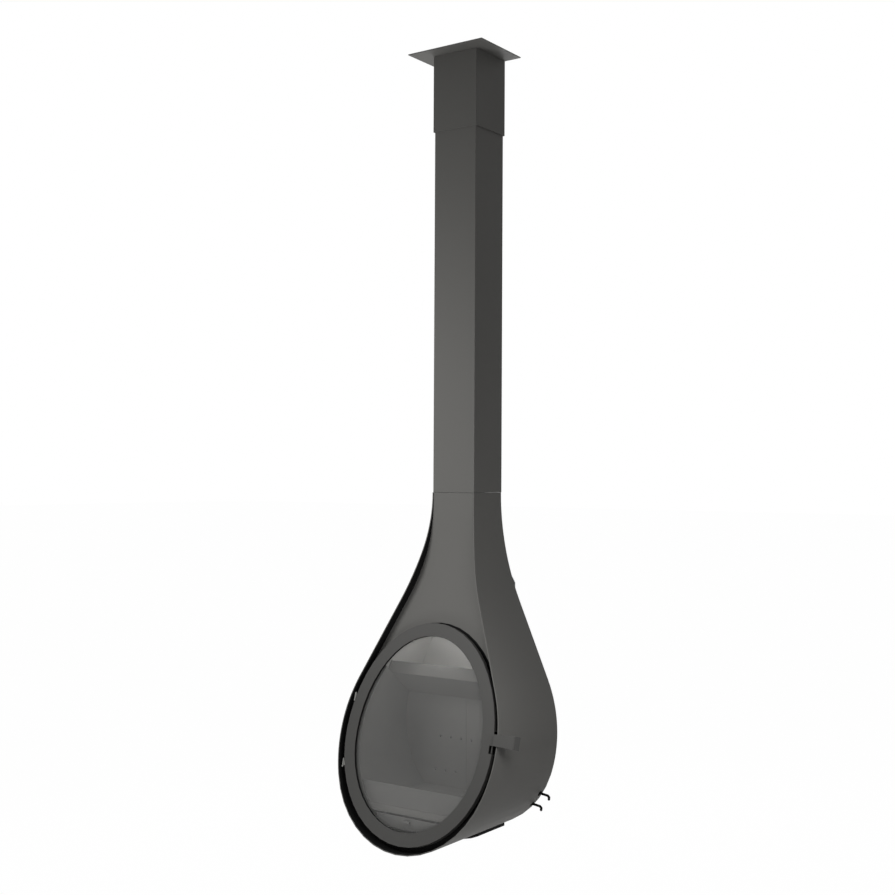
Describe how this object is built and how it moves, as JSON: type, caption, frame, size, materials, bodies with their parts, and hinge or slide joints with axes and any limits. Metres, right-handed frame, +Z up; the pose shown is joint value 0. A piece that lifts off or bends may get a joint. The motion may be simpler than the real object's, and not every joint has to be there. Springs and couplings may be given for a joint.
{
  "type": "hanging fireplace",
  "caption": "Drop-shaped hanging wood fireplace with an oval glass door, wall hanger and square flue casing to the ceiling.",
  "frame": {"origin": "on the wall, in the middle of the wall hanger's back face; the flue axis is 108 mm in front of it", "axes": "+Z up towards the ceiling, -Y out of the wall towards the room and the door, +X to the right seen from the room"},
  "size_m": [0.8163, 0.5759, 3.1496],
  "materials": {
    "grey_paint": "satin heat-proof paint",
    "black_paint": "matt heat-proof paint",
    "bare_steel": "turned and plated",
    "cast_iron": "as cast, blackened",
    "refractory": "pressed mineral board, matt",
    "ceramic_glass": "clear ceramic",
    "rope_seal": "woven glass fibre",
    "galvanised": "galvanised sheet",
    "pale_enamel": "pale heat-proof coat"
  },
  "bodies": {
    "stove": {"ceiling_plate": "grey_paint", "ceiling_collar": "grey_paint", "flue_casing": "grey_paint", "neck_sleeve": "galvanised", "flue_pipe": "galvanised", "flue_spacer": "galvanised", "side_wrap": "grey_paint", "neck_front_panel": "grey_paint", "back_panel": "grey_paint", "front_frame": "black_paint", "firebox_shell": "pale_enamel", "flue_spigot": "cast_iron", "baffle": "refractory", "side_liner_left": "refractory", "side_liner_right": "refractory", "back_liner_left": "refractory", "back_liner_right": "refractory", "secondary_air_duct": "galvanised", "hearth_floor": "refractory", "grate": "cast_iron", "log_guard": "cast_iron", "hinge_bracket_upper": "bare_steel", "hinge_bracket_lower": "bare_steel", "hinge_pin_upper": "bare_steel", "hinge_pin_lower": "bare_steel", "latch_keeper": "black_paint", "air_intake_cover": "black_paint", "wall_hanger": "galvanised", "wall_screw_left": "bare_steel", "wall_screw_right": "bare_steel", "body_spacer_left": "galvanised", "body_spacer_right": "galvanised", "drawer_runner_left": "galvanised", "drawer_runner_right": "galvanised", "wall_rail": "galvanised"},
    "door": {"door_frame": "grey_paint", "glass_tape": "rope_seal", "door_glass": "ceramic_glass", "glass_retainer": "black_paint", "door_rope_seal": "rope_seal", "retainer_screw_1": "bare_steel", "retainer_screw_2": "bare_steel", "retainer_screw_3": "bare_steel", "retainer_screw_4": "bare_steel", "retainer_screw_5": "bare_steel", "retainer_screw_6": "bare_steel", "hinge_leaf_upper": "bare_steel", "hinge_leaf_lower": "bare_steel", "latch_pivot_bolt": "bare_steel", "latch_pivot_nut": "bare_steel"},
    "latch": {"latch_handle": "grey_paint", "latch_hook": "black_paint"},
    "secondary_air": {"secondary_air_lever": "black_paint"},
    "primary_air": {"primary_air_lever": "black_paint"},
    "drawer": {"ash_drawer": "cast_iron", "ash_drawer_knob": "cast_iron"}
  },
  "joints": [
    {"name": "door_hinge", "type": "hinge", "parent": "stove", "child": "door", "pos_m": [-0.33796, -0.44266, -0.32903], "axis": [0, -0.284, -0.9588], "range_deg": [0, 95]},
    {"name": "latch_lift", "type": "hinge", "parent": "door", "child": "latch", "pos_m": [0.32196, -0.428, -0.29009], "axis": [0, -0.9588, 0.284], "range_deg": [0, 12]},
    {"name": "secondary_air_slide", "type": "slide", "parent": "stove", "child": "secondary_air", "axis": [1, 0, 0], "range_m": [0, 0.025]},
    {"name": "primary_air_slide", "type": "slide", "parent": "stove", "child": "primary_air", "axis": [1, 0, 0], "range_m": [0, 0.025]},
    {"name": "ash_drawer_slide", "type": "slide", "parent": "stove", "child": "drawer", "axis": [0, -1, 0], "range_m": [0, 0.2]}
  ],
  "couplings": [
    {"joint": "ash_drawer_slide", "follows": "door_hinge", "m_per_rad": 0.12}
  ]
}
